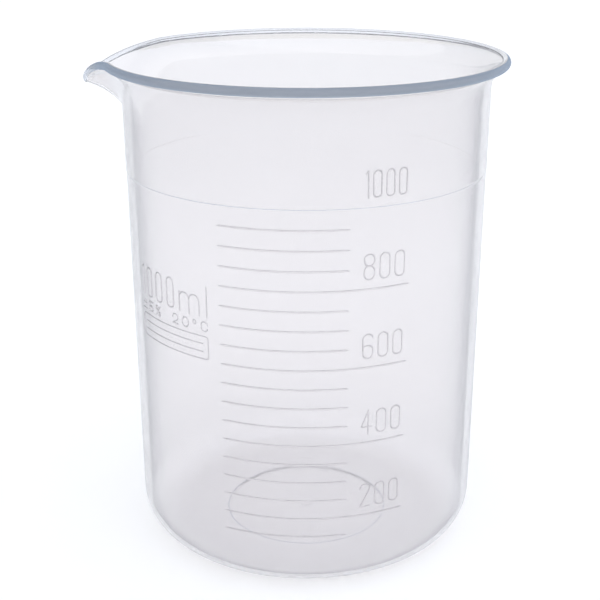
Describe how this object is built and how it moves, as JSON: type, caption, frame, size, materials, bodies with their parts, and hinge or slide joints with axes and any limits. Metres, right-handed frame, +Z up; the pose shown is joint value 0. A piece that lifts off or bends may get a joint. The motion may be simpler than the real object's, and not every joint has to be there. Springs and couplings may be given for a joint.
{
  "type": "beaker",
  "caption": "Low-form laboratory beaker in clear plastic with a flared beaded rim, a pouring spout and a raised volume scale.",
  "frame": {"origin": "centre of the foot, on the plane the beaker stands on", "axes": "+Z up the beaker's axis, -X towards the pouring spout, -Y towards the middle of the scale"},
  "size_m": [0.1295, 0.1204, 0.1523],
  "materials": {
    "vessel": "clear, lightly hazed moulded plastic",
    "marks": "raised marks in the same clear plastic"
  },
  "bodies": {
    "root": {"base": "vessel", "lower_wall": "vessel", "upper_wall": "vessel", "rim": "vessel", "pouring_spout": "vessel", "gate_mark": "marks", "line_150": "marks", "line_200": "marks", "line_250": "marks", "line_300": "marks", "line_350": "marks", "line_400": "marks", "line_450": "marks", "line_500": "marks", "line_550": "marks", "line_600": "marks", "line_650": "marks", "line_700": "marks", "line_750": "marks", "line_800": "marks", "line_850": "marks", "line_900": "marks", "line_950": "marks", "numeral_200": "marks", "numeral_400": "marks", "numeral_600": "marks", "numeral_800": "marks", "numeral_1000": "marks", "capacity_mark": "marks", "calibration_mark": "marks", "write_on_panel": "marks"}
  },
  "joints": []
}
